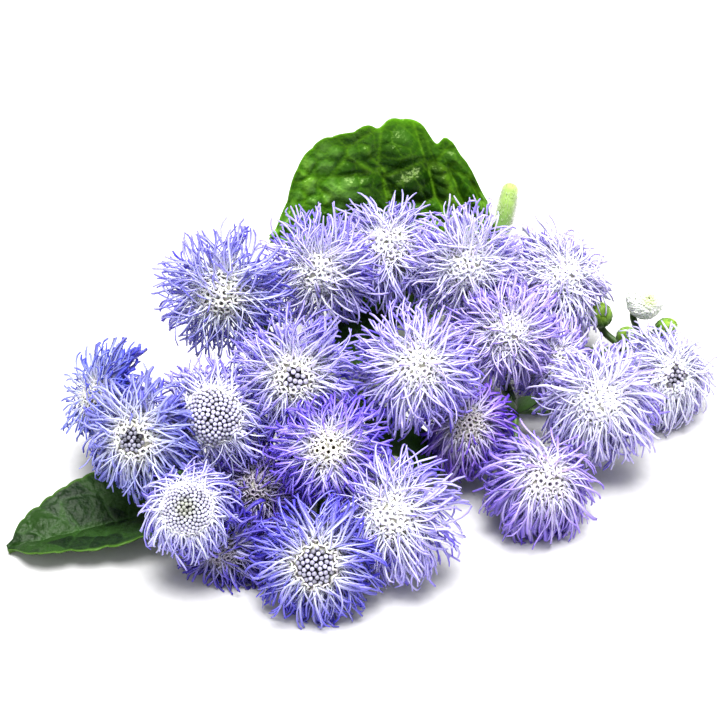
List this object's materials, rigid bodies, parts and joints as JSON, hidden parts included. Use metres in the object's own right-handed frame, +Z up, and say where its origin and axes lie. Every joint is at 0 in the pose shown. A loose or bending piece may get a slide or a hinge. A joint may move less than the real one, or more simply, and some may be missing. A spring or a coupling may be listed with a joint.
{
  "type": "ageratum flower spray",
  "caption": "Cut spray of ageratum lying down: forked green stem with fluffy violet-blue flower heads, closed buds and crinkled leaves.",
  "frame": {"origin": "on the surface the spray lies on, under the middle of its outline", "axes": "+Z up from the surface, the cut end of the stem towards +Y, the large leaf tip on the surface towards -X; most heads face -Y and up"},
  "size_m": [0.0871, 0.0871, 0.0297],
  "materials": {
    "stem": "matte soft green stem and bracts with fine pale hairs",
    "leaf": "deep green crinkled leaf with a soft sheen and paler veins",
    "florets": "thread-like violet-blue styles, nearly white towards the middle of each head",
    "young_florets": "white closed florets with a pale green middle"
  },
  "bodies": {
    "root": {"stem": "stem", "leaf_back": "leaf", "leaf_left": "leaf", "leaf_middle": "leaf", "leaf_inner": "leaf", "head_01": "florets", "head_02": "florets", "head_03": "florets", "head_04": "florets", "head_05": "florets", "head_06": "florets", "head_07": "florets", "head_08": "florets", "head_09": "florets", "head_10": "florets", "head_11": "florets", "head_12": "florets", "head_13": "florets", "head_14": "florets", "head_15": "florets", "head_16": "florets", "head_17": "florets", "head_18": "florets", "head_19": "florets", "head_20": "florets", "head_21": "florets", "head_22": "florets", "young_head": "young_florets"}
  },
  "joints": []
}
